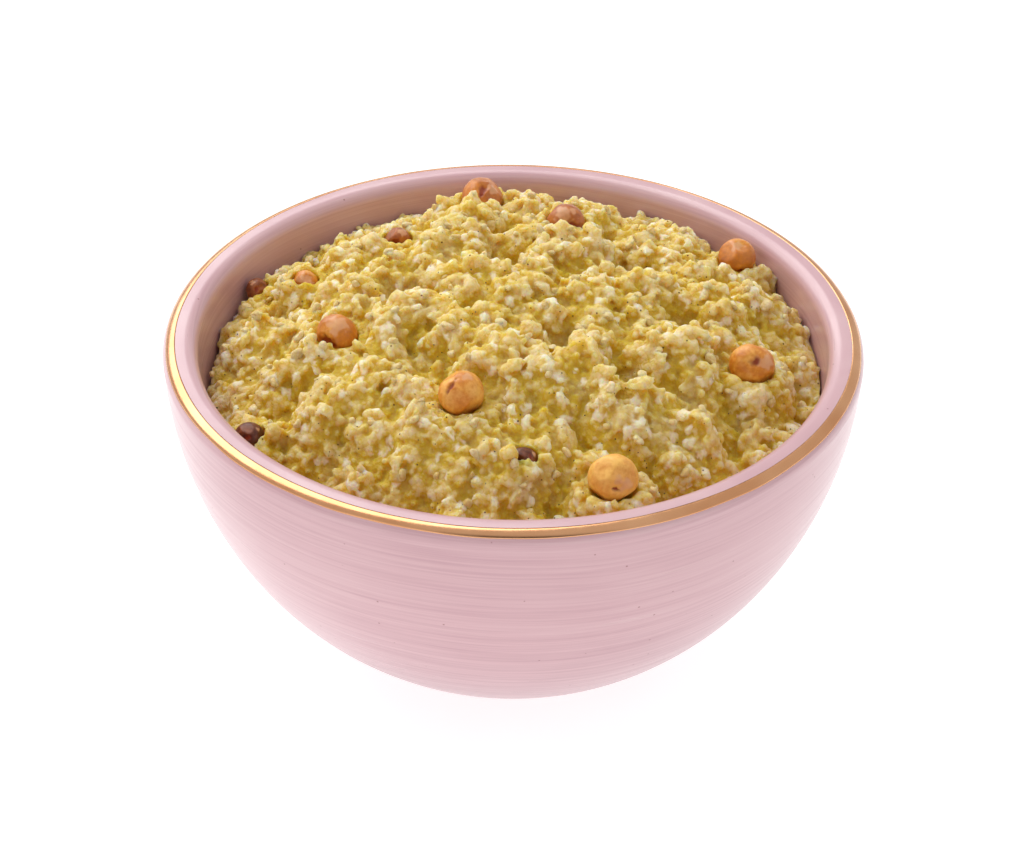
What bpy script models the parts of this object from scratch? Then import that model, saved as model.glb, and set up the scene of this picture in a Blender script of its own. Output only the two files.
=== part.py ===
"""A small stoneware bowl heaped with bottle gourd halwa and roasted nut kernels.

Metres, +Z up, +Y away from the viewer. The origin is the middle of the foot's underside.
"""

import math
import random

import bmesh
import bpy
from mathutils import Euler, Matrix, Vector, geometry, noise

MM = 0.001
TURN = 2 * math.pi

# Bowl: a foot ring, a belly that is half of an ellipse, a rounded lip and an inner wall
BOWL_HEIGHT = 59 * MM
BOWL_RADIUS = 60 * MM
BELLY_DROP = 65.4 * MM
MOUTH_RADIUS = 54 * MM
CAVITY_DEPTH = 52 * MM
CAVITY_SQUARENESS = 2.3
LIP_OUTER_ROUND = 2.2 * MM
LIP_INNER_ROUND = 2.4 * MM
FOOT_RADIUS = 24.5 * MM
FOOT_WIDTH = 3 * MM
FOOT_RECESS = 1.6 * MM
FOOT_JOIN_HEIGHT = 2.4 * MM
FOOT_FLARE = 2 * MM
BOWL_SEGMENTS = 56

# Halwa: a crumbly mound, higher at the middle and at the back, all heights from the lip's top
CROWN_HEIGHT = 4 * MM
EDGE_HEIGHT = -11 * MM
EDGE_RISE_TO_BACK = 4.5 * MM
EDGE_RISE_TO_RIGHT = 1.5 * MM
DOME_POWER = 2.8
WALL_GAP = 0.4 * MM
PIECE_GAP = 0.3 * MM
LATTICE_STEP = 1.74 * MM
LATTICE_JITTER = 0.22
RIM_POINTS = 144
RIM_CLEARANCE = 1.2 * MM
UNDERSIDE_RINGS = ((18, 64), (27, 56), (35, 48), (42, 36), (47.5, 24), (50.6, 12))
UNDERSIDE_DEPTH = 51.5 * MM

# Relief of the mound: broken crags, rounded clumps on them, and beads at the finest
CRAG_WARP = 1.6 * MM
CRAG_WARP_SCALE = 9 * MM
CLUMP_SIZE = 6 * MM
CLUMP_RELIEF = 4.4 * MM
GRAIN_RISE = (0.3 * MM, 1.1 * MM)
GRAIN_CREASE = (-0.5 * MM, 0 * MM)
WALL_FADE = 2.5 * MM

# The main crags of the mound, in mm: x, y, reach, and rise above the dome
CRAGS = (
    (-45, 3, 9, 2.0), (-36, -8, 8, 1.8), (-23, -4, 9, 3.6), (-26, -18, 9, 2.4),
    (-15, -31, 10, 3.8), (-4, -36, 8, 2.2), (-33, -25, 8, 1.8), (-28, 7, 8, 2.0),
    (-35, 14, 8, 1.8), (-27, 24, 9, 2.4), (-12, 23, 10, 2.2), (-13, 1, 7, 2.4),
    (-8, 10, 9, 2.6), (1, 9, 10, 3.2), (-9, -7, 8, 2.2), (-4, -14, 8, 2.6),
    (3, -20, 10, 3.8), (13, -16, 8, 3.2), (19, -26, 9, 3.0), (15, 4, 9, 3.0),
    (11, 22, 9, 3.2), (-9, 38, 11, 3.0), (2, 45, 9, 3.0), (15, 42, 10, 3.4),
    (29, 34, 9, 2.6), (33, 19, 9, 2.8), (25, 11, 8, 2.4), (34, 7, 8, 2.6),
    (43, 11, 9, 2.2), (28, -9, 10, 3.6), (35, -17, 8, 2.4), (30, -28, 8, 1.8),
)

# The main hollows between them, in mm: x, y, reach, and depth below the dome
HOLLOWS = (
    (-38, -14, 6, 2.2), (-32, -32, 8, 3.0), (-18, -41, 9, 3.0), (-5, -27, 6, 3.4),
    (4, -37, 7, 3.6), (21, -41, 8, 2.6), (19, -16, 6, 3.8), (8, -8, 7, 4.0),
    (12, -29, 6, 2.8), (-13, -15, 7, 3.2), (-15, 7, 6, 3.6), (-22, 8, 6, 3.4),
    (-38, 15, 6, 2.8), (-1, 18, 8, 4.0), (12, 30, 6, 3.6), (22, 19, 7, 3.6),
    (29, 2, 7, 3.8), (37, -22, 8, 3.4), (45, 4, 6, 2.2), (49, -5, 6, 2.0),
)

# The nut kernels: x, y and height above the lip's top, width, all in mm; how far the halwa
# rises round each from its middle, in radii; and where its scar points, as turn and tilt
KERNELS = (
    (-6.2, 46.0, -0.3, 8.4, -0.2, -70, 65),
    (9.2, 32.9, 2.1, 7.4, 0.1, -80, 30),
    (-21.0, 28.0, 0.6, 5.4, 0.35, -60, 20),
    (-30.0, -4.8, 1.3, 7.6, 0.0, -125, 10),
    (-8.5, -24.5, 2.8, 8.4, -0.35, 150, 48),
    (16.2, -39.8, -3.0, 8.6, -0.4, -80, 8),
    (40.3, -9.3, -0.8, 8.0, -0.25, -85, 36),
    (40.1, 27.5, -1.4, 7.2, -0.2, -60, 70),
    (1.8, -36.0, -2.4, 4.8, 0.5, -110, 30),
    (-43.7, -22.4, -7.9, 5.6, 0.3, -120, 25),
    (-37.1, 18.0, -2.3, 5.0, 0.45, -60, 50),
    (-46.2, 22.6, -6.6, 4.4, 0.3, -40, 40),
)
KERNEL_HEIGHT_SHARE = 0.9
KERNEL_OVALNESS = (0.02, 0.05)
KERNEL_SEGMENTS = 10
KERNEL_RINGS = 7
SCAR_DEPTH_SHARE = 0.14
SEAT_MARGIN = 0.8 * MM
SEAT_BLEND = 3.2 * MM

# Colours of the solids
GLAZE_PINK = (0.76, 0.47, 0.52)
HALWA_GREEN = (0.50, 0.40, 0.14)
KERNEL_TAN = (0.55, 0.26, 0.10)


def clear_scene():
    for item in list(bpy.data.objects):
        bpy.data.objects.remove(item, do_unlink=True)


def make_material(name, colour, roughness, metallic=0.0, coat=0.0):
    material = bpy.data.materials.new(name)
    material.use_nodes = True
    shader = material.node_tree.nodes["Principled BSDF"]
    shader.inputs["Base Color"].default_value = (*colour, 1.0)
    shader.inputs["Roughness"].default_value = roughness
    shader.inputs["Metallic"].default_value = metallic
    shader.inputs["Coat Weight"].default_value = coat
    return material


def add_object(name, mesh_builder, material):
    """Puts a bmesh into the scene as a named object of one material."""
    mesh = bpy.data.meshes.new(name)
    mesh_builder.to_mesh(mesh)
    mesh_builder.free()
    mesh.materials.append(material)
    item = bpy.data.objects.new(name, mesh)
    bpy.context.scene.collection.objects.link(item)
    return item


# Bowl

def belly_radius(height):
    """Outer radius of the bowl at a height above the table."""
    depth = BOWL_HEIGHT - height
    return BOWL_RADIUS * math.sqrt(1 - (depth / BELLY_DROP) ** 2)


def cavity_radius(depth, gap=0.0):
    """Inner radius of the bowl at a depth below the lip's top, less a gap."""
    reach = (MOUTH_RADIUS - gap, CAVITY_DEPTH - gap)
    share = 1 - (depth / reach[1]) ** CAVITY_SQUARENESS
    return reach[0] * max(share, 0) ** (1 / CAVITY_SQUARENESS)


def foot_profile():
    inner = FOOT_RADIUS - FOOT_WIDTH
    return [
        (0, FOOT_RECESS),
        (inner - FOOT_RECESS, FOOT_RECESS),
        (inner, 0),
        (FOOT_RADIUS, 0),
        (FOOT_RADIUS + FOOT_FLARE / 4, 0.6 * FOOT_JOIN_HEIGHT),
        (FOOT_RADIUS + FOOT_FLARE, 0.9 * FOOT_JOIN_HEIGHT),
    ]


def belly_profile(steps=8):
    """Points up the belly, closer together low down, where it curves most."""
    low = math.acos((BOWL_HEIGHT - FOOT_JOIN_HEIGHT) / BELLY_DROP)
    high = math.acos(LIP_OUTER_ROUND * 1.3 / BELLY_DROP)
    points = []
    for step in range(steps):
        angle = low + (high - low) * step / (steps - 1)
        height = BOWL_HEIGHT - BELLY_DROP * math.cos(angle)
        points.append((belly_radius(height), height))
    return points


def lip_profile(steps=4):
    """The lip's outer shoulder, its flat top, then its inner roll."""
    points = []
    outer = (LIP_OUTER_ROUND, BOWL_RADIUS - LIP_OUTER_ROUND, 0, 90)
    inner = (LIP_INNER_ROUND, MOUTH_RADIUS + LIP_INNER_ROUND, 90, 180)
    for radius, centre, start, end in (outer, inner):
        for step in range(steps):
            angle = math.radians(start + (end - start) * step / (steps - 1))
            height = BOWL_HEIGHT - radius + radius * math.sin(angle)
            points.append((centre + radius * math.cos(angle), height))
    return points


def cavity_profile(steps=9):
    points = []
    for step in range(1, steps + 1):
        angle = math.radians(90) * step / steps
        depth = CAVITY_DEPTH * math.sin(angle) ** (2 / CAVITY_SQUARENESS)
        radius = cavity_radius(min(depth, CAVITY_DEPTH)) if step < steps else 0
        if depth > 2 * LIP_INNER_ROUND:
            points.append((radius, BOWL_HEIGHT - depth))
    return points


def make_bowl(material):
    """Spins the bowl's outline a full turn about the vertical axis."""
    outline = foot_profile() + belly_profile() + lip_profile() + cavity_profile()
    builder = bmesh.new()
    corners = [builder.verts.new((radius, 0, height)) for radius, height in outline]
    edges = [builder.edges.new(pair) for pair in zip(corners, corners[1:])]
    bmesh.ops.spin(
        builder, geom=corners + edges, cent=(0, 0, 0), axis=(0, 0, 1),
        angle=TURN, steps=BOWL_SEGMENTS, use_merge=True,
    )
    bmesh.ops.remove_doubles(builder, verts=builder.verts, dist=0.001 * MM)
    bmesh.ops.recalc_face_normals(builder, faces=builder.faces)
    bowl = add_object("bowl", builder, material)
    bowl.data.shade_smooth()
    bowl.data.set_sharp_from_angle(angle=math.radians(40))
    return bowl


# Mound of halwa

def edge_height(turn):
    """Height of the halwa where it meets the wall, above the table."""
    rise = EDGE_RISE_TO_BACK * math.sin(turn) + EDGE_RISE_TO_RIGHT * math.cos(turn)
    return BOWL_HEIGHT + EDGE_HEIGHT + rise


def mound_radius(turn):
    """Radius at which the top of the mound stops, just short of the wall."""
    return cavity_radius(BOWL_HEIGHT - edge_height(turn), WALL_GAP)


def dome_height(x, y):
    """The mound without its relief."""
    turn = math.atan2(y, x)
    share = min(math.hypot(x, y) / mound_radius(turn), 1)
    edge = edge_height(turn)
    crown = BOWL_HEIGHT + CROWN_HEIGHT
    return edge + (crown - edge) * (1 - share ** DOME_POWER)


def swell(x, y, centre_x, centre_y, reach):
    """One at a centre, falling smoothly to nothing at its reach."""
    distance = math.hypot(x - centre_x, y - centre_y) / reach
    return (1 - distance ** 2) ** 2 if distance < 1 else 0.0


def crag_height(x, y):
    """The named crags and hollows, with their outlines bent irregularly."""
    spot = Vector((x, y, 0)) / CRAG_WARP_SCALE
    bend = noise.noise_vector(spot) * CRAG_WARP
    bent_x, bent_y = x + bend.x, y + bend.y
    height = 0.0
    for crag_x, crag_y, reach, rise in CRAGS:
        height += rise * MM * swell(bent_x, bent_y, crag_x * MM, crag_y * MM, reach * MM)
    for hollow_x, hollow_y, reach, drop in HOLLOWS:
        height -= drop * MM * swell(bent_x, bent_y, hollow_x * MM, hollow_y * MM, reach * MM)
    return height


def clump_height(x, y):
    """Rounded clumps with narrow creases between them."""
    spot = Vector((x, y, 0)) / CLUMP_SIZE
    nearest = noise.voronoi(spot, distance_metric="DISTANCE")[0][0]
    return CLUMP_RELIEF * (0.5 - min(nearest, 1.0))


def seat_height(x, y, height):
    """Lowers or lifts the mound round each kernel, so that it shows as much as it should."""
    for kernel_x, kernel_y, kernel_z, width, cover, _, _ in KERNELS:
        radius = width * MM / 2
        level = BOWL_HEIGHT + kernel_z * MM + cover * radius
        distance = math.hypot(x - kernel_x * MM, y - kernel_y * MM)
        share = (distance - radius - SEAT_MARGIN) / SEAT_BLEND
        weight = 1 - min(max(share, 0), 1)
        weight = weight * weight * (3 - 2 * weight)
        height += (level - height) * weight
    return height


def mound_height(x, y):
    """Height of the halwa's broken surface above the table."""
    to_wall = mound_radius(math.atan2(y, x)) - math.hypot(x, y)
    fade = min(max(to_wall / WALL_FADE, 0), 1)
    dome = dome_height(x, y)
    height = seat_height(x, y, dome + crag_height(x, y) + clump_height(x, y))
    return dome + (height - dome) * fade


def lattice_points():
    """A jittered triangular lattice inside the mound's edge, every third point a grain's top."""
    draw = random.Random(7)
    reach = int(1.2 * MOUTH_RADIUS / LATTICE_STEP)
    points = []
    heights = []
    for row in range(-reach, reach + 1):
        for column in range(-2 * reach, 2 * reach + 1):
            x = (column + 0.5 * row + draw.uniform(-1, 1) * LATTICE_JITTER) * LATTICE_STEP
            y = (row * math.sqrt(0.75) + draw.uniform(-1, 1) * LATTICE_JITTER) * LATTICE_STEP
            rise = draw.uniform(*(GRAIN_RISE if (column - row) % 3 == 0 else GRAIN_CREASE))
            if math.hypot(x, y) < mound_radius(math.atan2(y, x)) - RIM_CLEARANCE:
                points.append((x, y))
                heights.append(mound_height(x, y) + rise)
    return points, heights


def ring_points(radius_at, count):
    turns = [TURN * step / count for step in range(count)]
    return [(radius_at(turn) * math.cos(turn), radius_at(turn) * math.sin(turn)) for turn in turns]


def triangulate(builder, points, heights, rim, upward):
    """Fills the points with triangles; the first ones are the rim, whose corners exist."""
    flat = [Vector((x / MM, y / MM)) for x, y in points]
    faces = geometry.delaunay_2d_cdt(flat, [], [], 0, 1e-6)[2]
    corners = list(rim)
    for (x, y), height in zip(points[len(rim):], heights[len(rim):]):
        corners.append(builder.verts.new((x, y, height)))
    for face in faces:
        order = face if upward else reversed(face)
        builder.faces.new([corners[index] for index in order])


def make_mound():
    """The halwa's solid: its broken top, and an underside that follows the bowl's wall."""
    builder = bmesh.new()
    edge = ring_points(mound_radius, RIM_POINTS)
    rim = [builder.verts.new((x, y, edge_height(math.atan2(y, x)))) for x, y in edge]
    rim_heights = [corner.co.z for corner in rim]
    points, heights = lattice_points()
    triangulate(builder, edge + points, rim_heights + heights, rim, upward=True)
    under = list(edge)
    heights = list(rim_heights)
    for depth, count in UNDERSIDE_RINGS:
        radius = cavity_radius(depth * MM, WALL_GAP)
        under += ring_points(lambda turn: radius, count)
        heights += [BOWL_HEIGHT - depth * MM] * count
    under.append((0, 0))
    heights.append(BOWL_HEIGHT - UNDERSIDE_DEPTH)
    triangulate(builder, under, heights, rim, upward=False)
    return builder


def cut_sockets(halwa, kernels):
    """Cuts a socket a little larger than each kernel into the halwa."""
    cutters = bpy.data.collections.new("socket_cutters")
    bpy.context.scene.collection.children.link(cutters)
    for kernel in kernels:
        mesh = kernel.data.copy()
        grow = 1 + 2 * PIECE_GAP / min(kernel.dimensions)
        mesh.transform(Matrix.Diagonal((grow, grow, grow, 1)))
        cutter = bpy.data.objects.new(kernel.name + "_socket", mesh)
        cutter.matrix_world = kernel.matrix_world
        cutters.objects.link(cutter)
    cut = halwa.modifiers.new("sockets", "BOOLEAN")
    cut.operation = "DIFFERENCE"
    cut.operand_type = "COLLECTION"
    cut.collection = cutters
    bpy.context.view_layer.update()
    evaluated = halwa.evaluated_get(bpy.context.evaluated_depsgraph_get())
    result = bpy.data.meshes.new_from_object(evaluated)
    halwa.modifiers.clear()
    halwa.data = result
    for cutter in list(cutters.objects):
        bpy.data.objects.remove(cutter, do_unlink=True)
    bpy.data.collections.remove(cutters)


def keep_largest_piece(item):
    """Drops any crumb that a socket has cut off the mound."""
    builder = bmesh.new()
    builder.from_mesh(item.data)
    left = set(builder.verts)
    pieces = []
    while left:
        piece = set()
        edge = {next(iter(left))}
        while edge:
            piece |= edge
            edge = {e.other_vert(v) for v in edge for e in v.link_edges} - piece
        left -= piece
        pieces.append(piece)
    largest = max(pieces, key=len)
    scraps = [corner for corner in builder.verts if corner not in largest]
    bmesh.ops.delete(builder, geom=scraps, context="VERTS")
    builder.to_mesh(item.data)
    builder.free()


# Nut kernels

def make_kernel(index, place, material):
    """A round roasted kernel, a little flattened and uneven, with a scar pressed into it."""
    x, y, z, width, _, scar_turn, scar_tilt = place
    draw = random.Random(20 + index)
    builder = bmesh.new()
    bmesh.ops.create_uvsphere(
        builder, u_segments=KERNEL_SEGMENTS, v_segments=KERNEL_RINGS, radius=width * MM / 2,
    )
    phase = draw.uniform(0, TURN)
    waist = draw.uniform(*KERNEL_OVALNESS)
    top = max(corner.co.z for corner in builder.verts)
    for corner in builder.verts:
        turn = math.atan2(corner.co.y, corner.co.x)
        swelling = 1 + waist * math.cos(2 * turn + phase)
        corner.co.x *= swelling
        corner.co.y *= swelling
        if corner.co.z > 0.999 * top:
            corner.co.z -= SCAR_DEPTH_SHARE * width * MM
        corner.co.z *= KERNEL_HEIGHT_SHARE
    kernel = add_object(f"kernel_{index:02d}", builder, material)
    kernel.data.shade_smooth()
    kernel.location = (x * MM, y * MM, BOWL_HEIGHT + z * MM)
    tilt = math.radians(90 - scar_tilt)
    kernel.rotation_euler = Euler((0, tilt, math.radians(scar_turn)), "XYZ")
    return kernel


def main():
    clear_scene()
    glaze = make_material("pink_glaze", GLAZE_PINK, 0.28, coat=0.5)
    sweet = make_material("halwa", HALWA_GREEN, 0.45)
    nut = make_material("roasted_kernel", KERNEL_TAN, 0.4)
    make_bowl(glaze)
    halwa = add_object("halwa", make_mound(), sweet)
    kernels = [make_kernel(index + 1, place, nut) for index, place in enumerate(KERNELS)]
    bpy.context.view_layer.update()
    cut_sockets(halwa, kernels)
    keep_largest_piece(halwa)


main()
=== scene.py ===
# %% [markdown]
# # Bottle gourd halwa in a pink glazed bowl
# A small turned bowl with a gold line on its lip is heaped with a moist, crumbly sweet of
# grated gourd and milk, and roasted kernels lie on top. The measured solids come first, as
# a frame. Every piece is made in it, in metres, with the middle of the foot at the origin.

# %% Load the measured frame
import math
import random

import bmesh
import bpy
from mathutils import Matrix, Vector, noise
from mathutils.bvhtree import BVHTree


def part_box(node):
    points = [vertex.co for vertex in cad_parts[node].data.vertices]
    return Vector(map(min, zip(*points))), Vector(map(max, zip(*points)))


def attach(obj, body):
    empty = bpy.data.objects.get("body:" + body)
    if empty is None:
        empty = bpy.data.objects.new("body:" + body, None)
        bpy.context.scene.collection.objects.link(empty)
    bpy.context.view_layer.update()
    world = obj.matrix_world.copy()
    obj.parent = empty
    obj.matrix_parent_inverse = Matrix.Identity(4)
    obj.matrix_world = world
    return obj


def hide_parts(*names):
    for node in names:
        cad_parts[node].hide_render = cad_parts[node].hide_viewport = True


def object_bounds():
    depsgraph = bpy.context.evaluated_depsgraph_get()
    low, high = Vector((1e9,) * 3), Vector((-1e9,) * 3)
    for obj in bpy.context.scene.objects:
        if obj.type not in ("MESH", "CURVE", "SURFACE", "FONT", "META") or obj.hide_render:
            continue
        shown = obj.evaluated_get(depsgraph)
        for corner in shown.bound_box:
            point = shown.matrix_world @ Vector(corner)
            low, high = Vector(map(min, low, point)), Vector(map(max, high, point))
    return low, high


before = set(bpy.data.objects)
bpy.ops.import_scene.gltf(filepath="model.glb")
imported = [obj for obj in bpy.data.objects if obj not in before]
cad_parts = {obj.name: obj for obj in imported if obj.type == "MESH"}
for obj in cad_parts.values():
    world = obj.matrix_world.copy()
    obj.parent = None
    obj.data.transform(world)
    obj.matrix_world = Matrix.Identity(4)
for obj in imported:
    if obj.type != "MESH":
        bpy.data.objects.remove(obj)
solid_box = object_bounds()
MM = 0.001
TURN = 2 * math.pi
print("solids:", sorted(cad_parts), "box:", solid_box)

# %% [markdown]
# ## The camera
# Every later choice is judged through the camera. The photograph looks down on the bowl
# by 34 degrees, from half a metre, with a long lens. The small roll levels the rim.

# %% Place the camera
LIP_HEIGHT = 59 * MM
LOOK_DOWN = math.radians(34.22)
CAMERA_DISTANCE = 480 * MM
AIM_BELOW_LIP = 20.94 * MM
AIM_SIDEWAYS = -0.08 * MM
CAMERA_ROLL = math.radians(0.72)
SENSOR_WIDTH = 36
LENS = 95.93


def place_in_scene(name, data):
    item = bpy.data.objects.new(name, data)
    bpy.context.scene.collection.objects.link(item)
    return item


across = Vector((1, 0, 0))
upward = Vector((0, math.sin(LOOK_DOWN), math.cos(LOOK_DOWN)))
backward = Vector((0, -math.cos(LOOK_DOWN), math.sin(LOOK_DOWN)))
aim = Vector((AIM_SIDEWAYS, 0, LIP_HEIGHT - AIM_BELOW_LIP))

camera_data = bpy.data.cameras.new("camera")
camera_data.sensor_width = SENSOR_WIDTH
camera_data.lens = LENS
camera = place_in_scene("camera", camera_data)
turned = Matrix((across, upward, backward)).transposed().to_4x4()
camera.matrix_world = (
    Matrix.Translation(aim + backward * CAMERA_DISTANCE) @ turned @ Matrix.Rotation(CAMERA_ROLL, 4, "Z")
)
bpy.context.scene.camera = camera
print("camera at", [round(v, 4) for v in camera.matrix_world.translation])

# %% [markdown]
# ## Helpers for node trees
# Materials and Geometry Nodes are both trees of nodes, so the same short helpers serve both.
# They add a node, feed its sockets by name, and do sums on numbers and on vectors. Colours
# are written as they look on a screen, from 0 to 255, and turned to light values.


# %% Helpers that add and feed nodes
def feed(tree, socket, value):
    if isinstance(value, bpy.types.NodeSocket):
        tree.links.new(value, socket)
    else:
        socket.default_value = value


def add(tree, kind, settings=None, **feeds):
    node = tree.nodes.new(kind)
    for key, value in (settings or {}).items():
        setattr(node, key, value)
    for key, value in feeds.items():
        wanted = key.replace("_", " ")
        socket = next(s for s in node.inputs if s.name == wanted and s.enabled)
        feed(tree, socket, value)
    return node


def out(node, name):
    return next(s for s in node.outputs if s.name == name and s.enabled)


def made(tree, kind, settings=None, **feeds):
    """A new node's first output that is in use."""
    return next(s for s in add(tree, kind, settings, **feeds).outputs if s.enabled)


def sums(tree, operation, *values, kind="ShaderNodeMath"):
    node = add(tree, kind, {"operation": operation})
    for socket, value in zip(node.inputs, values):
        feed(tree, socket, value)
    return next(s for s in node.outputs if s.enabled)


def plus(tree, first, *others):
    for other in others:
        first = sums(tree, "ADD", first, other)
    return first


def times(tree, first, second):
    return sums(tree, "MULTIPLY", first, second)


def vector_sums(tree, operation, *values):
    return sums(tree, operation, *values, kind="ShaderNodeVectorMath")


def scaled(tree, vector, factor):
    return made(tree, "ShaderNodeVectorMath", {"operation": "SCALE"}, Vector=vector, Scale=factor)


def remap(tree, value, low, high, to_low=0.0, to_high=1.0):
    return made(
        tree, "ShaderNodeMapRange",
        Value=value, From_Min=low, From_Max=high, To_Min=to_low, To_Max=to_high,
    )


def colour(red, green, blue):
    def light(level):
        level = level / 255
        return level / 12.92 if level <= 0.04045 else ((level + 0.055) / 1.055) ** 2.4
    return (light(red), light(green), light(blue), 1.0)


def mixed(tree, factor, first, second):
    return made(tree, "ShaderNodeMix", {"data_type": "RGBA"}, Factor=factor, A=first, B=second)


def ramp(tree, value, *stops):
    node = add(tree, "ShaderNodeValToRGB", Fac=value)
    elements = node.color_ramp.elements
    while len(elements) < len(stops):
        elements.new(0.5)
    for element, (position, tone) in zip(elements, stops):
        element.position = position
        element.color = tone
    return node.outputs["Color"]


def noise_level(tree, place, scale, detail, roughness=0.5):
    return made(
        tree, "ShaderNodeTexNoise", Vector=place, Scale=scale, Detail=detail, Roughness=roughness
    )


def noise_colour(tree, place, scale):
    return out(add(tree, "ShaderNodeTexNoise", Vector=place, Scale=scale, Detail=1.0), "Color")


def cells_of(tree, place, size):
    """Cells of this size: how far a point is from its cell's middle, and the cell's own colour."""
    node = add(tree, "ShaderNodeTexVoronoi", Vector=place, Scale=1 / size, Randomness=1.0)
    return out(node, "Distance"), add(tree, "ShaderNodeSeparateColor", Color=out(node, "Color")).outputs


def rare_specks(tree, place, cell, edges, channel, share):
    """Round specks in this share of the cells, faded between two distances from a cell's middle."""
    distance, own = cells_of(tree, place, cell)
    near = remap(tree, distance, *edges, 1.0, 0.0)
    return times(tree, near, sums(tree, "GREATER_THAN", own[channel], 1 - share))


def bumped(tree, strength, distance, height):
    return made(tree, "ShaderNodeBump", Strength=strength, Distance=distance, Height=height)


def attribute(tree, name):
    return out(add(tree, "ShaderNodeAttribute", {"attribute_name": name}), "Fac")


def new_material(name):
    material = bpy.data.materials.new(name)
    material.use_nodes = True
    tree = material.node_tree
    place = add(tree, "ShaderNodeTexCoord").outputs["Object"]
    return material, tree, place


def finish(tree, **looks):
    """Feeds the sockets of the surface shader, by name."""
    shader = tree.nodes["Principled BSDF"]
    for title, value in looks.items():
        feed(tree, shader.inputs[title.replace("_", " ")], value)


print("helpers ready")

# %% [markdown]
# ## The pink glaze
# The glaze is a pale pink gloss over brush lines left by the turning wheel, level, a little
# wavy, and a fraction of a millimetre apart. Noise that is squeezed along the bowl's height
# gives such lines and a faint bump, and sparse cells become the iron specks. The glaze is
# painted a little deeper in colour toward the foot, as painted shade on the lower wall.

# %% The glaze material
GLAZE_PINK = colour(210, 168, 174)
GLAZE_PALE = colour(224, 190, 192)
# The deep tone is also the painted shade toward the foot.
GLAZE_DEEP = colour(184, 136, 146)
SPECK_BROWN = colour(150, 96, 92)
LINE_SPACING = 0.6 * MM
SPECK_CELL = 2.6 * MM


def make_glaze():
    material, tree, place = new_material("pink_glaze_brushed")
    parts = add(tree, "ShaderNodeSeparateXYZ", Vector=place).outputs
    height = plus(tree, parts["Z"], times(tree, noise_level(tree, place, 22.0, 1.0), 2.2 * MM))
    lines = []
    for spacing, along, share in ((LINE_SPACING, 26.0, 0.6), (LINE_SPACING * 0.4, 60.0, 0.4)):
        squeezed = made(
            tree, "ShaderNodeCombineXYZ",
            X=times(tree, parts["X"], along), Y=times(tree, parts["Y"], along),
            Z=sums(tree, "DIVIDE", height, spacing),
        )
        lines.append(times(tree, noise_level(tree, squeezed, 1.0, 2.0, 0.55), share))
    both = plus(tree, *lines)
    tone = plus(
        tree, both,
        remap(tree, noise_level(tree, place, 45.0, 3.0), 0.3, 0.7, -0.05, 0.05),
        # Painted shade: darker in colour toward the foot.
        remap(tree, parts["Z"], 5 * MM, 40 * MM, -0.3, 0.0),
    )
    pink = ramp(tree, tone, (0.1, GLAZE_DEEP), (0.5, GLAZE_PINK), (0.9, GLAZE_PALE))
    specks = rare_specks(tree, place, SPECK_CELL, (0.05, 0.085), "Red", 0.28)
    finish(
        tree, Base_Color=mixed(tree, times(tree, specks, 0.75), pink, SPECK_BROWN),
        Roughness=remap(tree, both, 0.3, 0.7, 0.36, 0.26),
        Normal=bumped(tree, 0.2, 0.05 * MM, both),
        Coat_Weight=0.35, Coat_Roughness=0.12,
    )
    return material


glaze = make_glaze()
print("made", glaze.name)

# %% [markdown]
# ## The bowl
# A bowl thrown on a wheel is one outline turned round an axis, so it is made that way here,
# from the measured sizes. Each ring of points is then moved in by a few hundredths of a
# millimetre, like a potter's shallow grooves, and never out, so the bowl keeps its width.

# %% The outline of the bowl
BOWL_RADIUS = 60 * MM
BELLY_DROP = 65.4 * MM
MOUTH_RADIUS = 54 * MM
CAVITY_DEPTH = 52 * MM
CAVITY_SQUARENESS = 2.3
LIP_OUTER_ROUND = 2.2 * MM
LIP_INNER_ROUND = 2.4 * MM
FOOT_RADIUS = 24.5 * MM
FOOT_WIDTH = 3 * MM
FOOT_RECESS = 1.6 * MM
FOOT_JOIN_HEIGHT = 2.4 * MM
FOOT_FLARE = 2 * MM
SHOULDER_RADIUS = BOWL_RADIUS - LIP_OUTER_ROUND


def steps(first, last, count):
    return [first + (last - first) * i / (count - 1) for i in range(count)]


def foot_outline():
    inner = FOOT_RADIUS - FOOT_WIDTH
    corner = 0.4 * MM
    return [
        (0, FOOT_RECESS),
        (inner * 0.6, FOOT_RECESS),
        (inner - FOOT_RECESS, FOOT_RECESS),
        (inner - corner, corner),
        (inner, 0.1 * MM),
        (inner + corner, 0),
        (FOOT_RADIUS - corner, 0),
        (FOOT_RADIUS, 0.15 * MM),
        (FOOT_RADIUS + FOOT_FLARE / 5, 0.35 * FOOT_JOIN_HEIGHT),
        (FOOT_RADIUS + FOOT_FLARE / 3, 0.65 * FOOT_JOIN_HEIGHT),
        (FOOT_RADIUS + FOOT_FLARE, 0.92 * FOOT_JOIN_HEIGHT),
    ]


def belly_outline():
    start = math.acos((LIP_HEIGHT - FOOT_JOIN_HEIGHT * 1.1) / BELLY_DROP)
    stop = math.acos(1.3 * LIP_OUTER_ROUND / BELLY_DROP)
    return [
        (BOWL_RADIUS * math.sin(angle), LIP_HEIGHT - BELLY_DROP * math.cos(angle))
        for angle in steps(start, stop, 72)
    ]


def lip_arc(middle, radius, first, last, count):
    return [
        (middle + radius * math.cos(angle), LIP_HEIGHT - radius + radius * math.sin(angle))
        for angle in steps(first, last, count)
    ]


def lip_outline():
    outer = lip_arc(SHOULDER_RADIUS, LIP_OUTER_ROUND, 0, TURN / 4, 10)
    inner = lip_arc(MOUTH_RADIUS + LIP_INNER_ROUND, LIP_INNER_ROUND, TURN / 4, TURN / 2, 12)
    return outer + inner


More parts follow.
